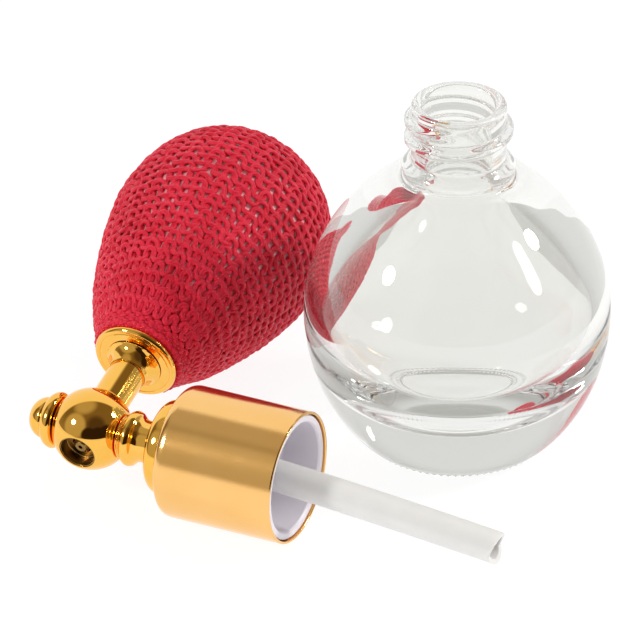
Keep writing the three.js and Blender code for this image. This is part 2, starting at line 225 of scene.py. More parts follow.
def lathe(name, profile, segs, place, axis="Z", closed=False, shift=None, bend=None):
    """Turned body from (r, z) pairs. shift(angle, r, z) may give new r and z arrays. axis X lays the heights along local X."""
    rows = len(profile)
    ang = np.linspace(0, 2 * math.pi, segs, endpoint=False)
    r = np.array([p[0] for p in profile])[:, None] * np.ones(segs)[None, :]
    z = np.array([p[1] for p in profile])[:, None] * np.ones(segs)[None, :]
    a = np.ones(rows)[:, None] * ang[None, :]
    if shift is not None:
        r, z = shift(a, r, z)
    x, y = r * np.cos(a), r * np.sin(a)
    if axis == "Z":
        co = np.stack([x, y, z], -1)
    else:
        co = np.stack([z, y, -x], -1)
    pole = [p[0] < 1e-6 for p in profile]
    index = np.full((rows, segs), -1, int)
    verts, uv, length = [], [], 0.0
    for i in range(rows):
        if i:
            length += math.hypot(profile[i][0] - profile[i - 1][0], profile[i][1] - profile[i - 1][1])
        if pole[i]:
            index[i, :] = len(verts)
            verts.append(co[i, 0])
            uv.append((0.5, length))
        else:
            index[i, :] = np.arange(len(verts), len(verts) + segs)
            verts.extend(co[i])
            uv.extend([(k / segs, length) for k in range(segs)])
    faces = []
    for i in range(rows if closed else rows - 1):
        j = (i + 1) % rows
        for k in range(segs):
            m = (k + 1) % segs
            quad = [index[i, k], index[i, m], index[j, m], index[j, k]]
            clean = []
            for q in quad:
                if q not in clean:
                    clean.append(int(q))
            if len(clean) > 2:
                faces.append(clean)
    mat = np.array(place)
    verts = np.array(verts)
    if bend is not None:
        verts = bend(verts)
    verts = verts @ mat[:3, :3].T + mat[:3, 3]
    return outward(make_object(name, verts, faces, uv))


def corner(*points, f=0.1):
    return [(p[0], p[1], p[2] if len(p) > 2 else f) for p in points]


# ------------------------------------------------------------------ materials
def principled(name, **values):
    m = bpy.data.materials.new(name)
    m.use_nodes = True
    m.node_tree.nodes.clear()
    out = m.node_tree.nodes.new("ShaderNodeOutputMaterial")
    p = m.node_tree.nodes.new("ShaderNodeBsdfPrincipled")
    m.node_tree.links.new(p.outputs["BSDF"], out.inputs["Surface"])
    for key, value in values.items():
        p.inputs[key.replace("_", " ")].default_value = value
    return m, m.node_tree, p


def add(nt, kind, **values):
    node = nt.nodes.new(kind)
    for key, value in values.items():
        if key in ("inputs",):
            for k, v in value.items():
                node.inputs[k].default_value = v
        else:
            setattr(node, key, value)
    return node


def ramp(nt, stops, colour=False):
    node = nt.nodes.new("ShaderNodeValToRGB")
    e = node.color_ramp.elements
    while len(e) > 1:
        e.remove(e[-1])
    e[0].position = stops[0][0]
    e[0].color = (*stops[0][1], 1) if colour else (stops[0][1],) * 3 + (1,)
    for pos, val in stops[1:]:
        x = e.new(pos)
        x.color = (*val, 1) if colour else (val,) * 3 + (1,)
    return node


def noise(nt, coords, scale, detail=3.0, rough=0.5, stretch=None):
    n = add(nt, "ShaderNodeTexNoise", inputs={"Scale": scale, "Detail": detail, "Roughness": rough})
    if stretch is not None:
        m = add(nt, "ShaderNodeMapping")
        m.inputs["Scale"].default_value = stretch
        nt.links.new(coords, m.inputs["Vector"])
        coords = m.outputs["Vector"]
    nt.links.new(coords, n.inputs["Vector"])
    return n


def bump(nt, p, height, strength, distance):
    b = add(nt, "ShaderNodeBump", inputs={"Strength": strength, "Distance": distance})
    nt.links.new(height, b.inputs["Height"])
    nt.links.new(b.outputs["Normal"], p.inputs["Normal"])
    return b


def polished_gold():
    m, nt, p = principled("polished_gold", Metallic=1.0)
    tc = add(nt, "ShaderNodeTexCoord")
    tone = noise(nt, tc.outputs["Object"], 180, 3)
    c = ramp(nt, [(0.3, (0.93, 0.51, 0.088)), (0.7, (0.96, 0.55, 0.125))], True)
    nt.links.new(tone.outputs["Fac"], c.inputs["Fac"])
    nt.links.new(c.outputs["Color"], p.inputs["Base Color"])
    smear = noise(nt, tc.outputs["Object"], 420, 4, 0.6)
    r = ramp(nt, [(0.35, 0.03), (0.75, 0.07)])
    nt.links.new(smear.outputs["Fac"], r.inputs["Fac"])
    nt.links.new(r.outputs["Color"], p.inputs["Roughness"])
    wave = noise(nt, tc.outputs["Object"], 95, 2)
    bump(nt, p, wave.outputs["Fac"], 0.03, 0.0006)
    return m


# brass colour darkened with painted shade of the nozzle recess, where the lining and the spray tip sit
def dark_brass():
    m, nt, p = principled("dark_brass", Metallic=1.0)
    tc = add(nt, "ShaderNodeTexCoord")
    tone = noise(nt, tc.outputs["Object"], 700, 4)
    c = ramp(nt, [(0.35, (0.20, 0.115, 0.035)), (0.7, (0.46, 0.28, 0.085))], True)
    nt.links.new(tone.outputs["Fac"], c.inputs["Fac"])
    nt.links.new(c.outputs["Color"], p.inputs["Base Color"])
    r = ramp(nt, [(0.3, 0.22), (0.7, 0.40)])
    nt.links.new(tone.outputs["Fac"], r.inputs["Fac"])
    nt.links.new(r.outputs["Color"], p.inputs["Roughness"])
    bump(nt, p, tone.outputs["Fac"], 0.25, 0.00008)
    return m


def satin_gold():
    m, nt, p = principled("satin_gold", Metallic=1.0)
    uv = add(nt, "ShaderNodeUVMap", uv_map="UVMap")
    tc = add(nt, "ShaderNodeTexCoord")
    tone = noise(nt, tc.outputs["Object"], 120, 3)
    c = ramp(nt, [(0.3, (0.93, 0.54, 0.185)), (0.7, (0.96, 0.575, 0.215))], True)
    nt.links.new(tone.outputs["Fac"], c.inputs["Fac"])
    nt.links.new(c.outputs["Color"], p.inputs["Base Color"])
    # fine grain drawn along the sleeve
    grain = noise(nt, uv.outputs["UV"], 1.0, 3, 0.6, (900.0, 0.5, 1.0))
    r = ramp(nt, [(0.3, 0.10), (0.7, 0.15)])
    nt.links.new(grain.outputs["Fac"], r.inputs["Fac"])
    nt.links.new(r.outputs["Color"], p.inputs["Roughness"])
    bump(nt, p, grain.outputs["Fac"], 0.04, 0.0002)
    return m


def clear_glass():
    m, nt, p = principled("clear_glass", Roughness=0.0, IOR=1.5)
    p.inputs["Base Color"].default_value = (0.91, 0.915, 0.895, 1)
    p.inputs["Transmission Weight"].default_value = 1.0
    tc = add(nt, "ShaderNodeTexCoord")
    # the slow waves that moulded glass has
    wave = noise(nt, tc.outputs["Object"], 55, 2, 0.4)
    bump(nt, p, wave.outputs["Fac"], 0.10, 0.0012)
    return m


def plastic(name, colour, rough, sss, scale=300):
    m, nt, p = principled(name, IOR=1.48)
    p.inputs["Subsurface Weight"].default_value = sss
    p.inputs["Subsurface Radius"].default_value = (0.0016, 0.0014, 0.0013)
    p.inputs["Subsurface Scale"].default_value = 1.0
    tc = add(nt, "ShaderNodeTexCoord")
    n = noise(nt, tc.outputs["Object"], scale, 3)
    lo = tuple(c * 0.965 for c in colour)
    c = ramp(nt, [(0.3, lo), (0.7, colour)], True)
    nt.links.new(n.outputs["Fac"], c.inputs["Fac"])
    nt.links.new(c.outputs["Color"], p.inputs["Base Color"])
    r = ramp(nt, [(0.3, rough * 0.85), (0.7, rough * 1.15)])
    nt.links.new(n.outputs["Fac"], r.inputs["Fac"])
    nt.links.new(r.outputs["Color"], p.inputs["Roughness"])
    fine = noise(nt, tc.outputs["Object"], 2600, 2)
    bump(nt, p, fine.outputs["Fac"], 0.08, 0.00005)
    return m


def rubber(name, colour, rough=0.55):
    m, nt, p = principled(name, IOR=1.5)
    tc = add(nt, "ShaderNodeTexCoord")
    n = noise(nt, tc.outputs["Object"], 240, 4)
    lo = tuple(c * 0.9 for c in colour)
    c = ramp(nt, [(0.3, lo), (0.7, colour)], True)
    nt.links.new(n.outputs["Fac"], c.inputs["Fac"])
    nt.links.new(c.outputs["Color"], p.inputs["Base Color"])
    r = ramp(nt, [(0.3, rough * 0.85), (0.7, min(1, rough * 1.15))])
    nt.links.new(n.outputs["Fac"], r.inputs["Fac"])
    nt.links.new(r.outputs["Color"], p.inputs["Roughness"])
    fine = noise(nt, tc.outputs["Object"], 3000, 2)
    bump(nt, p, fine.outputs["Fac"], 0.2, 0.00006)
    return m


def yarn():
    m, nt, p = principled("red_yarn", Roughness=0.42, IOR=1.5)
    p.inputs["Sheen Weight"].default_value = 0.08
    p.inputs["Sheen Roughness"].default_value = 0.35
    p.inputs["Sheen Tint"].default_value = (1.0, 0.30, 0.36, 1)
    p.inputs["Specular Tint"].default_value = (1.0, 0.34, 0.40, 1)
    p.inputs["Subsurface Weight"].default_value = 0.12
    p.inputs["Subsurface Radius"].default_value = (0.0006, 0.0001, 0.0001)
    p.inputs["Subsurface Scale"].default_value = 1.0
    uv = add(nt, "ShaderNodeUVMap", uv_map="UVMap")
    tc = add(nt, "ShaderNodeTexCoord")
    # filaments that run along the thread with a slight twist
    m1 = add(nt, "ShaderNodeMapping")
    m1.inputs["Scale"].default_value = (0.9, 11.0, 1.0)
    m1.inputs["Rotation"].default_value = (0, 0, 0.10)
    nt.links.new(uv.outputs["UV"], m1.inputs["Vector"])
    fil = add(nt, "ShaderNodeTexNoise", inputs={"Scale": 1.6, "Detail": 3.0, "Roughness": 0.6})
    nt.links.new(m1.outputs["Vector"], fil.inputs["Vector"])
    tone = noise(nt, tc.outputs["Object"], 150, 3)
    mix = add(nt, "ShaderNodeMath", operation="MULTIPLY_ADD", inputs={1: 0.45, 2: 0.28})
    nt.links.new(tone.outputs["Fac"], mix.inputs[0])
    both = add(nt, "ShaderNodeMath", operation="MULTIPLY_ADD", inputs={1: 0.5})
    nt.links.new(fil.outputs["Fac"], both.inputs[0])
    nt.links.new(mix.outputs[0], both.inputs[2])
    c = ramp(nt, [(0.36, (0.34, 0.001, 0.007)), (0.58, (0.53, 0.004, 0.017)), (0.80, (0.74, 0.022, 0.055))], True)
    nt.links.new(both.outputs[0], c.inputs["Fac"])
    nt.links.new(c.outputs["Color"], p.inputs["Base Color"])
    bump(nt, p, fil.outputs["Fac"], 0.8, 0.00012)
    return m


GOLD = polished_gold()
BRASS_RECESS_SHADE = dark_brass()
SATIN = satin_gold()
GLASS = clear_glass()
LINER = plastic("white_liner", (0.80, 0.76, 0.83), 0.38, 0.15)
TUBE = plastic("milky_tube", (0.77, 0.765, 0.755), 0.34, 0.30)
FOAM = plastic("foam_washer", (0.85, 0.84, 0.80), 0.8, 0.1, 900)
PINK = rubber("pink_rubber", (0.97, 0.42, 0.47), 0.45)
BLACK = rubber("black_rubber", (0.03, 0.03, 0.032), 0.6)
YARN = yarn()


def finish_piece(ob, material, body, slot, *nodes):
    ob.data.materials.clear()
    ob.data.materials.append(material)
    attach(ob, body)
    if nodes:
        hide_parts(*nodes)
    return ob


# ------------------------------------------------------------------ bottle
BODY_R, BODY_Z, BODY_LOW, BODY_HIGH = 25.0, 23.2, 29.1, 27.6


def body_low(z):
    return BODY_R * math.sqrt(1 - ((BODY_Z - z) / BODY_LOW) ** 2)


def body_high(z):
    return BODY_R * (1 - ((z - BODY_Z) / BODY_HIGH) ** 1.85) ** (1 / 1.85)


def build_bottle():
    nodes = corner((0, 1.1, 0.0), (8, 1.02, None), (11.5, 0.85, 0.25), (12.1, 0.06, 0.06), (12.25, 0, 0.04), (12.5, 0), (12.75, 0), (13.0, 0), (13.2, 0), (13.8, 0), (14.0, 0), (14.25, 0), (14.5, 0), (14.75, 0), (14.95, 0, 0.04), (15.1, 0.06, 0.06), (15.42, 0.46, 0.1), f=0.0)
    nodes += [(body_low(z), z, None) for z in np.arange(1.6, 23.0, 1.2)]
    nodes += [(BODY_R, BODY_Z, None)]
    nodes += [(body_high(z), z, None) for z in np.arange(24.4, 46.6, 1.1)]
    nodes += [(body_high(47.1), 47.1, None), (9.85, 47.75, 0.5), (9.1, 48.4, None), (9.25, 49.2, None), (9.05, 50.1, None), (8.45, 50.75, None), (7.95, 51.2, 0.5)]
    nodes += [(7.8, z, None) for z in np.arange(51.6, 59.6, 0.3)]
    nodes += [(7.77, 60.1, None), (7.62, 60.62, None), (7.2, 60.9, None), (6.6, 60.88, None), (6.15, 60.55, None), (5.85, 59.6, None), (5.6, 57.6, None)]
    nodes += [(5.5, 55.0, None), (5.5, 52.0, None), (5.5, 49.6, None), (5.7, 47.6, None), (6.6, 45.2, None), (8.3, 42.6, None), (10.9, 39.5, None), (14.2, 35.8, None), (17.4, 31.6, None),
              (19.8, 27.3, None), (20.8, 23.5, None), (20.3, 19.6, None), (18.4, 15.8, None), (15.0, 12.4, None), (10.6, 10.0, None), (5.6, 8.7, None), (0, 8.3, 0.0)]
    profile = smooth_profile(nodes, 1.1)
    inner_from = max(i for i, p in enumerate(profile) if p[0] > 5.0 and p[1] > 60.8)
    rows = np.arange(len(profile))[:, None]
    first, pitch, turns = 53.1, 3.175, 1.75

    def shift(a, r, z):
        # screw thread raised from the neck, its ends running out
        outer = (rows <= inner_from) & (z > 50.9) & (z < 60.3)
        add_r = np.zeros_like(r)
        for k in range(3):
            t = a / (2 * math.pi) + k
            zc = first + pitch * t
            ok = (t <= turns) & outer
            d = np.abs(z - zc)
            shape = np.where(d < 1.35, 0.5 + 0.5 * np.cos(math.pi * np.clip((d - 0.25) / 1.1, 0, 1)), 0)
            run = np.clip(np.minimum(t, turns - t) * 7, 0, 1)
            run = run * run * (3 - 2 * run)
            add_r = np.maximum(add_r, np.where(ok, shape * run * 1.075, 0))
        r = r + add_r
        # bead of fine knurls on the ring that the bottle stands on
        foot = (r > 12.0) & (r < 15.2) & (z < 0.3)
        notch = np.clip(0.5 + 0.9 * np.sin(a * 80), 0, 1)
        edge = np.clip((np.abs(r - 13.6) - 0.45) / 0.3, 0, 1)
        z = z + foot * notch * edge * 0.30
        return r, z

    ob = lathe("bottle_glass", profile, 320, BOTTLE, shift=shift)
    finish_piece(ob, GLASS, "bottle", "clear_glass", "glass_bottle")
    return ob


build_bottle()


# ------------------------------------------------------------------ spray head
def gold_lathe(name, nodes, segs, node, body="head", axis="Z", closed=True, step=0.3, material=None, slot="polished_gold", bend=None):
    ob = lathe(name, smooth_profile(nodes, step, closed), segs, HEAD, axis=axis, closed=closed, bend=bend)
    return finish_piece(ob, material or GOLD, body, slot, node)


# ball: turned about the stem, with the recess of the nozzle, then two flats
def build_ball():
    R = 6.7
    lip = 3.42
    rim = -math.sqrt(R * R - lip * lip)
    seat = 5.75
    nodes = corner((0, -1.6, 0), (1.5, -1.6), (1.5, -3.2), (3.15, -3.2, 0.15), (3.15, rim, 0.03), (lip, rim, 0.03), f=0.08)
    top = math.asin(seat / R)
    bottom = math.asin(rim / R)
    for k in range(1, 40):
        t = bottom + (top - bottom) * k / 40
        nodes.append((R * math.cos(t), R * math.sin(t), None))
    nodes += corner((R * math.cos(top), seat, 0.10), (2.0, seat), (2.0, 2.2), (0, 2.2, 0), f=0.08)
    ob = lathe("gold_ball", smooth_profile(nodes, 0.6), 144, HEAD, axis="X")
    bm = bmesh.new()
    bm.from_mesh(ob.data)
    for z, sign in ((5.5, 1), (-5.5, -1)):
        centre = BALL + H * z * MM
        res = bmesh.ops.bisect_plane(bm, geom=bm.verts[:] + bm.edges[:] + bm.faces[:], plane_co=centre, plane_no=H * sign, clear_outer=True)
        edges = [e for e in res["geom_cut"] if isinstance(e, bmesh.types.BMEdge)]
        made = bmesh.ops.contextual_create(bm, geom=edges)
        for f in made["faces"]:
            f.smooth = False
            for e in f.edges:
                e.smooth = False
    bmesh.ops.recalc_face_normals(bm, faces=bm.faces)
    bm.to_mesh(ob.data)
    bm.free()
    finish_piece(ob, GOLD, "head", "polished_gold", "ball_body")


build_ball()

# lining and spray tip inside the nozzle recess, in brass darkened with painted recess shade
gold_lathe("nozzle_lining", corner((1.7, -3.4), (1.7, -3.7), (2.85, -3.7, 0.2), (2.95, -5.62, 0.04), (3.1, -5.62, 0.04), (3.1, -3.4), f=0.05), 64, "nozzle_cup", axis="X", material=BRASS_RECESS_SHADE, slot="dark_brass")
gold_lathe("spray_tip_brass", corner((0.35, -2.0), (1.35, -2.0), (1.35, -4.0, 0.2), (0.9, -4.5, 0.12), (0.35, -4.5, 0.05), f=0.05), 48, "spray_tip", axis="X", material=BRASS_RECESS_SHADE, slot="dark_brass")

gold_lathe("knob_ring", corner((1.75, -5.65), (3.75, -5.65, 0.1), (4.2, -5.72, None), (4.55, -6.02, None), (4.65, -6.45, None), (4.52, -7.0, None), (4.12, -7.55, None), (3.65, -7.85, 0.06), (1.75, -7.85), f=0.05), 96, "finial_ring", step=0.12)
gold_lathe("knob", corner((0, -3.1, 0), (1.45, -3.1), (1.45, -7.95), (3.3, -7.95, 0.06), (3.42, -8.25, None), (3.36, -8.7, None),
                          (3.12, -9.3, None), (2.72, -9.85, None), (2.15, -10.35, None), (1.4, -10.7, None), (0.7, -10.86, None), (0, -10.9, 0), f=0.05), 96, "finial_knob", closed=False, step=0.15)

gold_lathe("turned_neck_gold", corner(
    (1.0, 2.7), (2.4, 2.7), (2.4, 5.6), (3.3, 5.6, 0.05), (3.6, 5.8, None), (3.37, 6.0, 0.05), (3.6, 6.2, None), (3.36, 6.4, 0.06),
    (3.75, 6.5, None), (4.35, 6.85, None), (4.57, 7.45, None), (4.35, 8.1, None), (3.86, 8.65, None), (3.55, 9.2, None), (3.45, 9.9, None), (3.45, 11.9, 0.06),
    (2.6, 11.9), (2.6, 18.8), (1.0, 18.8), f=0.05), 96, "turned_neck", step=0.12)

gold_lathe("shoulder_dome_gold", corner(
    (2.8, 11.98), (3.5, 11.98, 0.05), (4.2, 12.0, None), (5.2, 12.1, None), (6.3, 12.26, None), (7.1, 12.6, None), (7.6, 13.15, None), (7.82, 13.8, None),
    (7.9, 14.6, None), (7.9, 15.5, 0.12), (4.0, 15.5), (4.0, 16.45), (2.8, 16.45), f=0.05), 128, "shoulder_dome", step=0.2)


# collar: drawn shell, white liner with its thread, washer
def build_collar():
    nodes = corner((4.07, 15.8, 0.05), (9.7, 15.8, 0.1), (10.25, 15.9, None), (10.62, 16.22, None), (10.82, 16.7, None), (10.9, 17.3, 0.3),
                   (10.9, 36.62, 0.06), (10.8, 36.8, 0.05), (10.53, 36.8, 0.05), (10.45, 36.7, 0.05),
                   (10.45, 17.3, None), (10.3, 16.75, None), (9.95, 16.4, None), (9.5, 16.3, 0.1), (4.07, 16.3), f=0.05)
    ob = lathe("collar_sleeve", smooth_profile(nodes, 0.2, True), 192, HEAD, closed=True)
    finish_piece(ob, SATIN, "collar", "satin_gold", "collar_shell")

    nodes = corner((10.32, 17.3), (10.32, 36.2, 0.15), (10.15, 36.45, 0.1), (9.28, 36.45, 0.2), (8.98, 36.1, 0.2))
    bore = [(8.98, z, None) for z in np.arange(35.7, 23.4, -0.3)]
    nodes += bore + corner((8.98, 22.6, 0.2), (3.85, 22.6), (3.85, 21.0), (8.9, 21.0), (8.9, 17.3))
    profile = smooth_profile(nodes, 0.4, True)

    def shift(a, r, z):
        out = np.zeros_like(r)
        inner = (r < 9.05) & (r > 8.9) & (z > 23.6) & (z < 35.9)
        for k in range(4):
            t = a / (2 * math.pi) + k
            zc = 26.1 + 3.175 * t
            d = np.abs(z - zc)
            shape = np.where(d < 0.95, 0.5 + 0.5 * np.cos(math.pi * np.clip((d - 0.2) / 0.75, 0, 1)), 0)
            run = np.clip(np.minimum(t, 1.5 - t) * 7, 0, 1)
            out = np.maximum(out, np.where(inner & (t <= 1.5), shape * run * 0.65, 0))
        return r - out, z

    ob = lathe("collar_liner", profile, 128, HEAD, closed=True, shift=shift)
    finish_piece(ob, LINER, "collar", "white_liner", "thread_insert")
    gold_lathe("washer", corner((4.2, 22.75), (8.75, 22.75), (8.75, 23.9), (4.2, 23.9), f=0.12), 96, "neck_gasket", "collar", material=FOAM, slot="foam_washer")


build_collar()

gold_lathe("tube_holder", corner(
    (2.75, 17.2), (8.2, 17.2), (8.2, 17.9), (4.6, 18.6, 0.3), (3.55, 19.5, 0.5), (3.55, 25.6, 0.1), (3.35, 26.0, 0.08), (2.85, 26.0), (2.85, 19.0), (2.75, 19.0), f=0.06),
    96, "tube_socket", material=LINER, slot="white_liner")


# dip tube: straight out of its holder, then hanging towards the table, end cut to a fish tail
def build_tube():
    down = np.array([-math.sin(GA), -math.cos(GA)])
    down /= np.linalg.norm(down)
    a0, b0, sag, bend, power = 19.4, 72.3, 4.12, 25.0, 1.25
    R, r_in = 2.65, 1.85
    segs, rows = 48, 60
    ang = np.linspace(0, 2 * math.pi, segs, endpoint=False)
    q = np.cos(ang - math.atan2(down[1], down[0]))
    verts, faces, uv = [], [], []

    def point(radius, k, z):
        u = max(0.0, (z - bend) / (b0 - bend))
        s = sag * u**power
        slope = power * sag * u ** (power - 1) / (b0 - bend)
        n = 1 / math.hypot(1, slope)
        # cross-section square to the centre line
        along = q[k] * radius
        side = radius * math.sin(ang[k] - math.atan2(down[1], down[0]))
        cx = down * (s + along * n) + np.array([-down[1], down[0]]) * side
        return (cx[0], cx[1], z - along * slope * n)

    def ring(radius, z_of):
        start = len(verts)
        for k in range(segs):
            verts.append(point(radius, k, z_of(k, radius)))
            uv.append((k / segs, z_of(k, radius)))
        return start

    rings = []

    def end_z(k, radius):
        # shallow notch, its lowest point a little below the middle
        y = q[k] * radius
        return b0 - 0.95 * max(0.0, 1 - (abs(y - 0.7) / (1.9 if y > 0.7 else 3.3)))

    for i in range(rows + 1):
        t = i / rows
        rings.append(ring(R, lambda k, r, t=t: a0 + (end_z(k, r) - 0.05 - a0) * t))
    rings.append(ring(R - 0.06, lambda k, r: end_z(k, R)))
    rings.append(ring(r_in + 0.06, lambda k, r: end_z(k, r_in)))
    for i in range(rows, -1, -1):
        t = i / rows
        rings.append(ring(r_in, lambda k, r, t=t: a0 + (end_z(k, r) - 0.05 - a0) * t))
    for i in range(len(rings)):
        a, b = rings[i], rings[(i + 1) % len(rings)]
        for k in range(segs):
            m = (k + 1) % segs
            faces.append([a + k, a + m, b + m, b + k])
    mat = np.array(HEAD)
    co = np.array(verts) @ mat[:3, :3].T + mat[:3, 3]
    ob = outward(make_object("dip_tube_milky", co, faces, uv))
    ob.data.set_sharp_from_angle(angle=math.radians(50))
    finish_piece(ob, TUBE, "head", "milky_plastic", "dip_tube")


build_tube()

gold_lathe("stem_gold", corner(
    (1.1, 3.2), (1.8, 3.2), (1.8, 6.05), (3.1, 6.05, 0.08), (3.1, 15.7, 0.05), (2.2, 15.7), (2.2, 19.6), (1.1, 19.6), f=0.05), 96, "air_stem", axis="X")
gold_lathe("stem_flare", corner(
    (3.13, 13.2, 0.05), (3.22, 13.25, None), (3.4, 13.9, None), (3.7, 14.6, None), (4.15, 15.25, None), (4.7, 15.66, None), (4.85, 15.76, 0.05), (3.13, 15.76), f=0.05),
    96, "stem_boss", axis="X", step=0.2)
gold_lathe("bulb_disc", corner(
    (2.35, 15.9), (6.1, 15.9, 0.05), (6.25, 16.02, 0.05), (6.5, 15.88, None), (6.9, 16.0, None), (7.15, 16.4, None), (7.1, 16.95, None), (6.85, 17.3, 0.08), (2.35, 17.3), f=0.05),
    128, "bulb_flange", axis="X", step=0.12)


# ------------------------------------------------------------------ bulb and its net
BULB_R, BULB_MOUTH, BULB_WIDE, BULB_LEN, BULB_NEAR, BULB_FAR = 18.28, 7.5, 34.33, 55.05, 1.3, 2.59
TIP = BULB_A + BULB_LEN


def bulb_radius(t):
    """Radius of the net's outline at distance t from the mouth: cone side, then round end."""
    t = np.asarray(t, float)
    u = np.clip(1 - t / BULB_WIDE, 0, 1)
    near = BULB_MOUTH + (BULB_R - BULB_MOUTH) * np.clip(1 - u**BULB_NEAR, 0, 1) ** (1 / BULB_NEAR)
    w = np.clip((t - BULB_WIDE) / (BULB_LEN - BULB_WIDE), 0, 1)
    return np.where(t < BULB_WIDE, near, BULB_R * np.clip(1 - w**BULB_FAR, 0, 1) ** (1 / BULB_FAR))


def outline(stops, inset):
    """(r, x) pairs of the bulb's outline moved inwards."""
    stops = np.asarray(stops, float)
    a, b = np.clip(stops - 0.02, 0, BULB_LEN), np.clip(stops + 0.02, 0, BULB_LEN)
    dr, dx = bulb_radius(b) - bulb_radius(a), b - a
    n = np.hypot(dr, dx)
    return [(float(r), float(x)) for r, x in zip(bulb_radius(stops) - inset * dx / n, BULB_A + stops + inset * dr / n)]


gold_lathe("bulb_rubber",
           [(5.9, 17.75, 0.3)] + [(r, x, None) for r, x in outline([1.2, 2.6], 1.5)] + [(r, x, None) for r, x in outline([5, 8, 11, 15, 20, 25, 30, 34.3, 38, 42, 45.5, 48.5], 0.92)]
           + [(r, x, None) for r, x in outline([51, 52.8, 53.9], 1.3)]
           + [(5.2, TIP - 1.65, None), (3.6, TIP - 1.6, 0.2), (3.6, TIP - 3.1, 0.2)]
           + [(r, x, None) for r, x in outline([54.3, 53.2, 51.5, 49, 45.5, 40.5, 34.3, 27, 20, 13.5], 2.8)]
           + [(8.0, 25.4, None), (4.8, 24.2, 0.3), (4.8, 17.75, 0.2)],
           112, "rubber_bulb", axis="X", step=1.0, material=PINK, slot="pink_rubber", bend=droop)


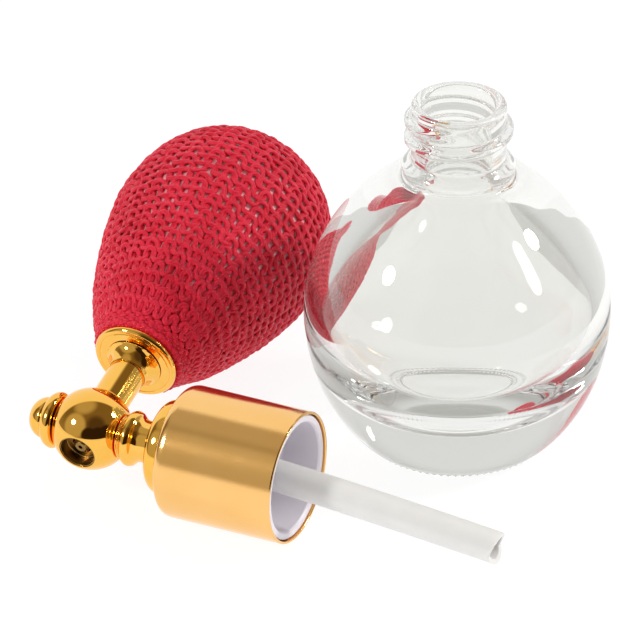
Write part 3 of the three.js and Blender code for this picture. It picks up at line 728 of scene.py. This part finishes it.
def build_net():
    stops = np.concatenate([np.linspace(0, 50, 240), np.linspace(50, 54.7, 80)[1:]])
    dense = np.array(outline(stops, 0))
    t = np.gradient(dense, axis=0)
    t /= np.linalg.norm(t, axis=1)[:, None]
    nrm = np.stack([t[:, 1], -t[:, 0]], 1)  # out of the bulb
    LAT, RAD, WAVE = 0.48, 0.36, 0.25
    mid = dense - nrm * (RAD + WAVE)
    arc = np.concatenate([[0], np.cumsum(np.linalg.norm(np.diff(mid, axis=0), axis=1))])
    total = arc[-1]
    WALES, COURSE = 29, 2.07
    rows = int(total / COURSE)
    course = total / (rows + 0.9)
    half = 0.99 * course
    # the yarn is a soft bundle of strands that turn slowly round each other
    per, sides, strands = 20, 6, 3
    cuts = [-4] + [-4 + (rows + 4) * k // 4 for k in (1, 2, 3)] + [rows]
    pieces = [("net_part_" + "abcd"[k], cuts[k], cuts[k + 1]) for k in range(4)]
    step = 2 * math.pi / WALES
    jit = np.random.default_rng(11)
    made = []
    for name, i0, i1 in pieces:
        verts, faces, uv = [], [], []
        for i in range(i0, i1):
            n = WALES * per
            tau = np.arange(n) / per * 2 * math.pi
            wale = np.arange(n) // per
            # each stitch is a little different from the next
            k = (np.arange(n) / per) % WALES
            lo, hi = np.floor(k).astype(int) % WALES, (np.floor(k).astype(int) + 1) % WALES
            f = k - np.floor(k)
            f = f * f * (3 - 2 * f)
            vary = lambda amount: (lambda q: q[lo] * (1 - f) + q[hi] * f)(jit.normal(0, amount, WALES))
            jh, jx, js, jo, jv = vary(0.07), vary(0.055), vary(0.10), vary(0.05), vary(0.035)
            if i < 0:
                # the first rounds lie close behind the disc
                u = step * (tau + 0.5 * np.sin(2 * tau)) / (2 * math.pi)
                v = 0.52 + 0.75 * (-1 - i) + (0.12 + 0.1 * (-1 - i)) * np.cos(tau)
                off = 0.10 * np.cos(2 * tau) + 0.10 * (-1 - i)
            else:
                u = step * (tau + (1.0 + js) * np.sin(2 * tau)) / (2 * math.pi) + step * jx + step * 0.05 * np.cos(tau)
                v = (i + 0.95) * course + half * (1 + jh) * np.cos(tau) + course * jv
                off = WAVE * np.cos(2 * tau) + jo
            v = np.clip(v, 0.42, total - 0.2)
            mx, mr = np.interp(v, arc, mid[:, 1]), np.interp(v, arc, mid[:, 0])
            nx, nr = np.interp(v, arc, nrm[:, 1]), np.interp(v, arc, nrm[:, 0])
            if i < -2:
                # drawn in behind the disc
                mx = 17.80 + 0.05 * np.cos(tau)
                mr = (7.30 if i == -3 else 6.62) + 0.08 * np.cos(tau)
                nx, nr = -0.8 + 0 * mx, 0.6 + 0 * mx
            ln = np.hypot(nx, nr)
            nx, nr = nx / ln, nr / ln
            px, pr = mx + off * nx, mr + off * nr
            # turned like the solids: local z = r cos, y = r sin
            cen = np.stack([px, pr * np.sin(u), pr * np.cos(u)], 1)
            out_dir = np.stack([nx, nr * np.sin(u), nr * np.cos(u)], 1)
            tan = np.roll(cen, -1, 0) - np.roll(cen, 1, 0)
            tan /= np.linalg.norm(tan, axis=1)[:, None]
            side = np.cross(tan, out_dir)
            side /= np.linalg.norm(side, axis=1)[:, None]
            up = np.cross(side, tan)
            seg = np.linalg.norm(np.roll(cen, -1, 0) - cen, axis=1)
            s_len = np.concatenate([[0], np.cumsum(seg)[:-1]])
            turn = s_len / seg.sum() * 2 * math.pi * round(seg.sum() / 13) + jit.uniform(0, 6)
            phi = np.arange(sides) / sides * 2 * math.pi
            for q in range(strands):
                spot = turn + q * 2 * math.pi / strands
                core = cen + side * (0.20 * np.cos(spot))[:, None] + up * (0.11 * np.sin(spot))[:, None]
                fat = (1 + vary(0.06))[:, None, None]
                ring = core[:, None, :] + fat * (side[:, None, :] * ((LAT - 0.17) * np.cos(phi))[None, :, None] + up[:, None, :] * ((RAD - 0.10) * np.sin(phi))[None, :, None])
                base = len(verts)
                verts.extend(ring.reshape(-1, 3))
                uv.extend(np.stack([np.repeat(s_len + i * 3.7 + q * 1.3, sides), np.tile(np.arange(sides) / sides, n)], 1))
                index = base + np.arange(n)[:, None] * sides + np.arange(sides)[None, :]
                nxt = np.roll(index, -1, 0)
                quads = np.stack([index, np.roll(index, -1, 1), np.roll(nxt, -1, 1), nxt], -1).reshape(-1, 4)
                faces.extend(quads.tolist())
        mat = np.array(HEAD)
        co = droop(verts) @ mat[:3, :3].T + mat[:3, 3]
        ob = make_object(name, co, faces, uv)
        bm = bmesh.new()
        bm.from_mesh(ob.data)
        if bm.calc_volume(signed=True) < 0:
            bmesh.ops.reverse_faces(bm, faces=bm.faces)
        bm.to_mesh(ob.data)
        bm.free()
        finish_piece(ob, YARN, "head", "red_knit")
        made.append(ob)
    for ob in made:
        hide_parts("bulb_net")
    return made


net = build_net()

gold_lathe("inlet_valve_gold", corner(
    (1.2, TIP - 5.4), (3.4, TIP - 5.4), (3.4, TIP + 1.07), (4.4, TIP + 1.07, 0.08), (4.4, TIP + 1.45, 0.1), (3.7, TIP + 1.8, 0.15), (0.9, TIP + 1.8, 0.1),
    (0.9, TIP - 1.65), (2.2, TIP - 1.65), (2.2, TIP - 4.25), (1.2, TIP - 4.25), f=0.05),
    64, "inlet_valve_body", "bulb_end", axis="X", bend=droop)
gold_lathe("gather_cord", [(r, TIP + x, None) for r, x in ((3.55, 0.5), (3.7, 0.15), (4.05, 0.07), (4.4, 0.15), (4.55, 0.5), (4.4, 0.85), (4.05, 0.95), (3.7, 0.85))],
           64, "net_gather", "bulb_end", axis="X", step=0.15, material=YARN, slot="red_knit", bend=droop)

# the bulb and each piece of its net get mesh data of their own
for ob in net + [bpy.data.objects["bulb_rubber"]]:
    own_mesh(ob)

for node, material in (("slip_ring", TUBE), ("bulb_nipple", GOLD), ("outlet_valve_disc", BLACK), ("inlet_valve_disc", BLACK)):
    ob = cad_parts[node]
    ob.data.materials.clear()
    ob.data.materials.append(material)

# ------------------------------------------------------------------ studio
scene = bpy.context.scene


def floor():
    mesh = bpy.data.meshes.new("floor")
    verts = [(-0.16, -0.16, -0.00002), (0.16, -0.16, -0.00002), (0.16, 0.17, -0.00002), (-0.16, 0.17, -0.00002)]
    mesh.from_pydata(verts, [], [[0, 1, 2, 3]])
    ob = bpy.data.objects.new("floor", mesh)
    scene.collection.objects.link(ob)
    m, nt, p = principled("floor_white", Roughness=0.75, IOR=1.3)
    p.inputs["Base Color"].default_value = (0.15, 0.15, 0.15, 1)
    p.inputs["Specular IOR Level"].default_value = 0.05
    p.inputs["Emission Color"].default_value = (1, 1, 1, 1)
    p.inputs["Emission Strength"].default_value = 0.90
    mesh.materials.append(m)


floor()


def lamp(name, direction, distance, size, power, colour=(1, 1, 1)):
    data = bpy.data.lights.new(name, "AREA")
    data.shape = "DISK"
    data.size = size
    data.energy = power
    data.color = colour
    ob = bpy.data.objects.new(name, data)
    scene.collection.objects.link(ob)
    d = Vector(direction).normalized()
    ob.location = d * distance
    ob.rotation_mode = "QUATERNION"
    ob.rotation_quaternion = d.to_track_quat("Z", "Y")
    return ob


lamp("lamp_left", (-0.80, -0.36, 0.52), 0.66, 0.12, 1.75, (1.0, 0.98, 0.95))
lamp("lamp_right", (0.80, 0.03, 0.60), 0.80, 0.15, 3.0, (1.0, 0.98, 0.95))

# a bright back wall over a white table; in front and above, where the viewer stands, the room is dim
world = bpy.data.worlds.new("tent")
scene.world = world
world.use_nodes = True
nt = world.node_tree
nt.nodes.clear()
out = add(nt, "ShaderNodeOutputWorld")
tc = add(nt, "ShaderNodeTexCoord")


def patch(direction, inner, outer):
    """1 inside a round patch of the sky, 0 outside, angles in degrees."""
    dot = add(nt, "ShaderNodeVectorMath", operation="DOT_PRODUCT")
    dot.inputs[1].default_value = Vector(direction).normalized()
    nt.links.new(tc.outputs["Generated"], dot.inputs[0])
    mr = add(nt, "ShaderNodeMapRange", interpolation_type="SMOOTHSTEP")
    mr.inputs["From Min"].default_value = math.cos(math.radians(outer))
    mr.inputs["From Max"].default_value = math.cos(math.radians(inner))
    nt.links.new(dot.outputs["Value"], mr.inputs["Value"])
    return mr.outputs["Result"]


def blend_colour(fac, a, b):
    mix = add(nt, "ShaderNodeMix", data_type="RGBA")
    nt.links.new(fac, mix.inputs["Factor"])
    for socket, value in ((mix.inputs["A"], a), (mix.inputs["B"], b)):
        if isinstance(value, tuple):
            socket.default_value = (*value, 1)
        else:
            nt.links.new(value, socket)
    return mix.outputs["Result"]


def height(lo, hi):
    """0 below one height of the sky, 1 above the other."""
    split = add(nt, "ShaderNodeSeparateXYZ")
    nt.links.new(tc.outputs["Generated"], split.inputs[0])
    mr = add(nt, "ShaderNodeMapRange", interpolation_type="SMOOTHSTEP")
    mr.inputs["From Min"].default_value = lo
    mr.inputs["From Max"].default_value = hi
    nt.links.new(split.outputs["Z"], mr.inputs["Value"])
    return mr.outputs["Result"]




def toward(az, el):
    az, el = math.radians(az), math.radians(el)
    return (math.cos(el) * math.cos(az), math.cos(el) * math.sin(az), math.sin(el))


sky = blend_colour(height(-0.02, 0.50), (0.30, 0.25, 0.17), (0.20, 0.155, 0.085))
sky = blend_colour(patch(toward(4, 4), 10, 24), sky, (0.52, 0.48, 0.42))
sky = blend_colour(patch(toward(-75, 38), 14, 34), sky, (0.08, 0.055, 0.035))
sky = blend_colour(patch(toward(150, 72), 13, 32), sky, (0.50, 0.465, 0.37))
sky = blend_colour(patch(toward(-148, 26), 25, 37), sky, (0.53, 0.50, 0.40))
for spot in (-99, -73, -47):
    sky = blend_colour(patch(toward(spot, 11), 17, 25), sky, (0.030, 0.018, 0.013))
sky = blend_colour(patch((0.0, 1.0, 0.0), 64.0, 70.5), sky, (1.02, 1.02, 1.02))
sky = blend_colour(height(-0.02, 0.0), (1.0, 1.0, 1.0), sky)
# what the clear glass shows: a white wall behind the bottle, dimmer room to the sides and above
through = blend_colour(height(-0.10, 0.75), (0.60, 0.595, 0.575), (0.46, 0.455, 0.43))
through = blend_colour(patch((0.0, 1.0, 0.0), 25.0, 55.0), through, (0.74, 0.735, 0.72))
# what lights the cloth: even light from all round
fill = blend_colour(height(-0.05, 0.05), (1.0, 1.0, 1.0), (0.60, 0.59, 0.57))
path = add(nt, "ShaderNodeLightPath")
sky = blend_colour(path.outputs["Is Transmission Ray"], sky, through)
sky = blend_colour(path.outputs["Is Diffuse Ray"], sky, fill)
light = add(nt, "ShaderNodeBackground")
nt.links.new(sky, light.inputs["Color"])
plain = add(nt, "ShaderNodeBackground", inputs={"Color": (1, 1, 1, 1), "Strength": 1.0})
mix = add(nt, "ShaderNodeMixShader")
nt.links.new(path.outputs["Is Camera Ray"], mix.inputs[0])
nt.links.new(light.outputs[0], mix.inputs[1])
nt.links.new(plain.outputs[0], mix.inputs[2])
nt.links.new(mix.outputs[0], out.inputs["Surface"])

# ------------------------------------------------------------------ camera
cam_data = bpy.data.cameras.new("camera")
cam = bpy.data.objects.new("camera", cam_data)
scene.collection.objects.link(cam)
EL = math.radians(29.505)
target = Vector((-0.13, 36.43, 0)) * MM
back = Vector((0, -math.cos(EL), math.sin(EL)))
cam.location = target + back * 1.5
cam.rotation_mode = "QUATERNION"
cam.rotation_quaternion = (-back).to_track_quat("-Z", "Y")
cam_data.sensor_width = 36.0
cam_data.lens = 36.0 * 8958 / 640
cam_data.clip_start, cam_data.clip_end = 0.05, 20
cam_data.dof.use_dof = False
scene.camera = cam

scene.view_settings.view_transform = "Standard"
scene.view_settings.look = "None"
scene.view_settings.exposure = 0.0
scene.view_settings.gamma = 1.0
scene.cycles.use_denoising = True
scene.cycles.max_bounces = 32
scene.cycles.transmission_bounces = 32
scene.cycles.glossy_bounces = 20
scene.cycles.diffuse_bounces = 4
scene.cycles.sample_clamp_indirect = 8.0
scene.cycles.blur_glossy = 0.3
